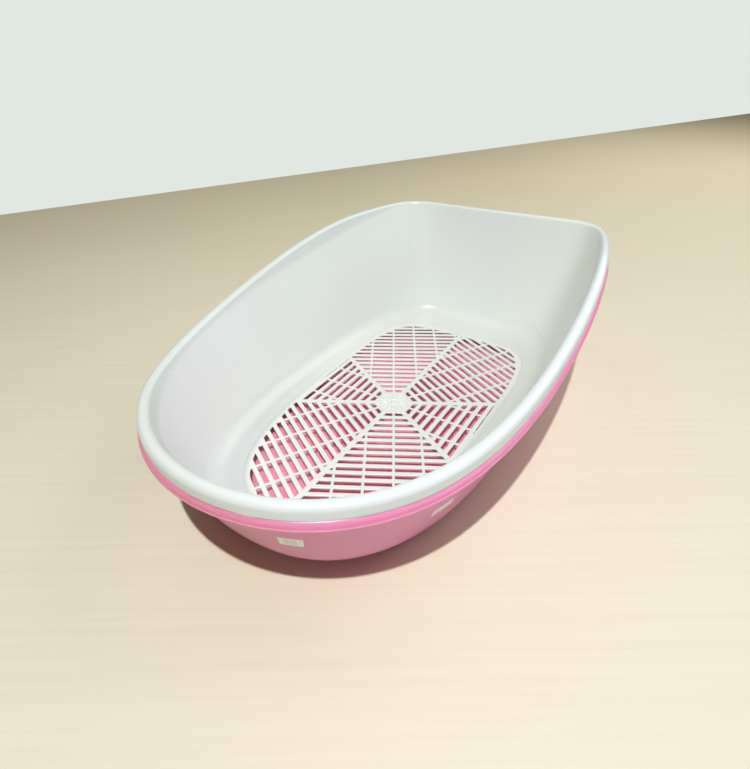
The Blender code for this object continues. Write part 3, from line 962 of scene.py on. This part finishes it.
def build_label(label):
    face = 2 * WALL + NEST_GAP
    step = 2 * pi / FINE_STEPS
    level = rim_height(outline_point(RIM, label.angle).y) - label.drop
    ahead = Wall(label.angle + step).place(0.0, level)
    behind = Wall(label.angle - step).place(0.0, level)
    sweep = 2 * step * label.width / (ahead - behind).length
    middle = Wall(label.angle)
    centre = middle.place(middle.face(level, face), level)
    points = []
    for column in range(LABEL_COLUMNS + 1):
        wall = Wall(label.angle - sweep / 2 + sweep * column / LABEL_COLUMNS)
        for row in range(LABEL_ROWS + 1):
            up = level - label.height / 2 + label.height * row / LABEL_ROWS
            on_edge = row in (0, LABEL_ROWS) or column in (0, LABEL_COLUMNS)
            points.append(wall.place(wall.face(up, face if on_edge else face + LABEL_RELIEF), up))
    count = LABEL_ROWS + 1
    faces = [(i * count + j, (i + 1) * count + j, (i + 1) * count + j + 1, i * count + j + 1)
             for i in range(LABEL_COLUMNS) for j in range(LABEL_ROWS)]
    paper = label_paper(label, centre, (ahead - behind).normalized())
    piece = finished_piece(label.node + "_sheet", points, faces, paper)
    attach(piece, "tray")
    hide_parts(label.node)


for label in LABELS:
    build_label(label)

# %% [markdown]
# ## Table
# A plain pale table with a very faint grain. Its far edge slants away behind the object. The
# board is painted paler and yellower towards the far side: painted light where the lamps fade.

# %% Build the table
TABLE_COLOUR = (0.728, 0.692, 0.550, 1.0)
TABLE_GRAIN = (0.715, 0.656, 0.530, 1.0)
TABLE_FAR_LIGHT = (0.90, 0.81, 0.60, 1.0)
GRAIN_TURN = radians(34)
EDGE_LEFT = Vector((-1.30, 0.20, 0.0))
EDGE_RIGHT = Vector((0.15, 3.10, 0.0))
TABLE_REACH = 5.0
TABLE_THICKNESS = 0.03


def build_table():
    """One board, drawn from its far edge towards the viewer."""
    finish = Finish("pale_table")
    grain = finish.noise(1.0, 3.0, finish.along_grain(GRAIN_TURN, 0.35, 0.006))
    tone = finish.spread(finish.noise(3.0, 2.0), 0.3, 0.7, 0.55, 0.65)
    grained = finish.mix(finish.spread(grain, 0.4, 0.75), TABLE_COLOUR, TABLE_GRAIN)
    # Painted light: the board grows paler and yellower further from the object.
    far_light_share = finish.spread(finish.along(Vector((-0.56, 0.83, 0.0)), Vector((0.0, 0.0, 0.0))), 0.0, 1.2)
    finish.surface(Base_Color=finish.mix(far_light_share, grained, TABLE_FAR_LIGHT), Roughness=tone,
                   Normal=finish.bump(grain, 0.00005))
    along = (EDGE_RIGHT - EDGE_LEFT).normalized()
    nearer = Vector((along.y, -along.x, 0.0))
    middle = (EDGE_LEFT + EDGE_RIGHT) / 2
    corners = [middle + along * a * TABLE_REACH + nearer * b * 2 * TABLE_REACH
               for a, b in ((-1, 0), (-1, 1), (1, 1), (1, 0))]
    below = [corner - Vector((0, 0, TABLE_THICKNESS)) for corner in corners]
    faces = [(3, 2, 1, 0), (4, 5, 6, 7)] + [(i, (i + 1) % 4, (i + 1) % 4 + 4, i + 4) for i in range(4)]
    mesh = bpy.data.meshes.new("table")
    mesh.from_pydata(corners + below, [], faces)
    mesh.materials.append(finish.material)
    table = bpy.data.objects.new("table", mesh)
    bpy.context.scene.collection.objects.link(table)
    return table


table = build_table()
print("the table's far edge runs from", EDGE_LEFT[:2], "to", EDGE_RIGHT[:2])

# %% [markdown]
# ## Light
# One small lamp stands in front and to the right, high up, and gives the crisp edge of the shadow
# on the table. A wide window behind to the right fills the hollow of the pan, so that its own
# shadow is too soft to see. A wide lamp above on the right and two lamps close to the table only
# lift the outsides of the rims. All of them are nearly white.

# %% Lamps
Lamp = namedtuple("Lamp", "name place size power colour")
LAMPS = [
    Lamp("key", Vector((0.367, -0.755, 1.615)), 0.04, 28.2, (0.993, 1.0, 0.979)),
    Lamp("window", Vector((0.75, 1.40, 1.40)), 1.7, 14.0, (0.993, 1.0, 0.982)),
    Lamp("high_right", Vector((1.3, 0.3, 2.2)), 1.6, 2.6, (0.87, 1.0, 0.85)),
    Lamp("high_left", Vector((-1.3, 0.2, 2.2)), 1.6, 5.0, (1.0, 1.0, 0.85)),
    Lamp("low_right", Vector((2.0, 0.1, 0.35)), 0.8, 4.2, (0.66, 0.80, 1.0)),
    Lamp("low_front", Vector((0.3, -2.0, 0.45)), 0.8, 1.4, (0.93, 1.0, 0.95)),
]
AIM = Vector((0.0, 0.0, 0.05))
FAR_LAMP = Lamp("far_table", Vector((0.25, 2.35, 1.1)), 1.4, 5.6, (1.0, 0.96, 0.86))
ROOM_LIGHT = (1.0, 0.90, 0.50, 1.0)
ROOM_STRENGTH = 0.050
BACKDROP = (0.753, 0.807, 0.761, 1.0)


def disc_lamp(lamp, target):
    data = bpy.data.lights.new(lamp.name, "AREA")
    data.shape = "DISK"
    data.size = lamp.size
    data.energy = lamp.power
    data.color = lamp.colour
    thing = bpy.data.objects.new(lamp.name, data)
    thing.location = lamp.place
    thing.rotation_euler = (target - lamp.place).to_track_quat("-Z", "Y").to_euler()
    bpy.context.scene.collection.objects.link(thing)


def room():
    """A dim even room; the camera alone sees the pale backdrop."""
    world = bpy.data.worlds.new("room")
    world.use_nodes = True
    tree = world.node_tree
    dim = tree.nodes["Background"]
    dim.inputs["Color"].default_value = ROOM_LIGHT
    dim.inputs["Strength"].default_value = ROOM_STRENGTH
    seen = tree.nodes.new("ShaderNodeBackground")
    seen.inputs["Color"].default_value = BACKDROP
    path = tree.nodes.new("ShaderNodeLightPath")
    mix = tree.nodes.new("ShaderNodeMixShader")
    tree.links.new(path.outputs["Is Camera Ray"], mix.inputs[0])
    tree.links.new(dim.outputs[0], mix.inputs[1])
    tree.links.new(seen.outputs[0], mix.inputs[2])
    tree.links.new(mix.outputs[0], tree.nodes["World Output"].inputs["Surface"])
    bpy.context.scene.world = world


for lamp in LAMPS:
    disc_lamp(lamp, AIM)
disc_lamp(FAR_LAMP, Vector((*FAR_LAMP.place.xy, 0.0)))
room()
print("lamps", [lamp.name for lamp in LAMPS])

# %% [markdown]
# ## Camera
# The picture was taken from the front right, looking down at about 32 degrees.

# %% Camera
CAMERA_PLACE = Vector((0.21045, -0.37377, 0.32327))
CAMERA_TURN = (radians(57.811), radians(1.612), radians(34.025))
PICTURE_HEIGHT = 769
LENS = 23.243
camera_data = bpy.data.cameras.new("camera")
camera_data.lens = LENS
camera_data.clip_start = 0.01
camera_data.shift_x = 22.3 / PICTURE_HEIGHT
camera_data.shift_y = -14.5 / PICTURE_HEIGHT
camera = bpy.data.objects.new("camera", camera_data)
camera.location = CAMERA_PLACE
camera.rotation_euler = CAMERA_TURN
bpy.context.scene.collection.objects.link(camera)
bpy.context.scene.camera = camera
bpy.context.scene.view_settings.view_transform = "Standard"
print("camera is", round((CAMERA_PLACE - Vector((0, 0, SIEVE_TOP_HEIGHT))).length, 3), "m from the hub")
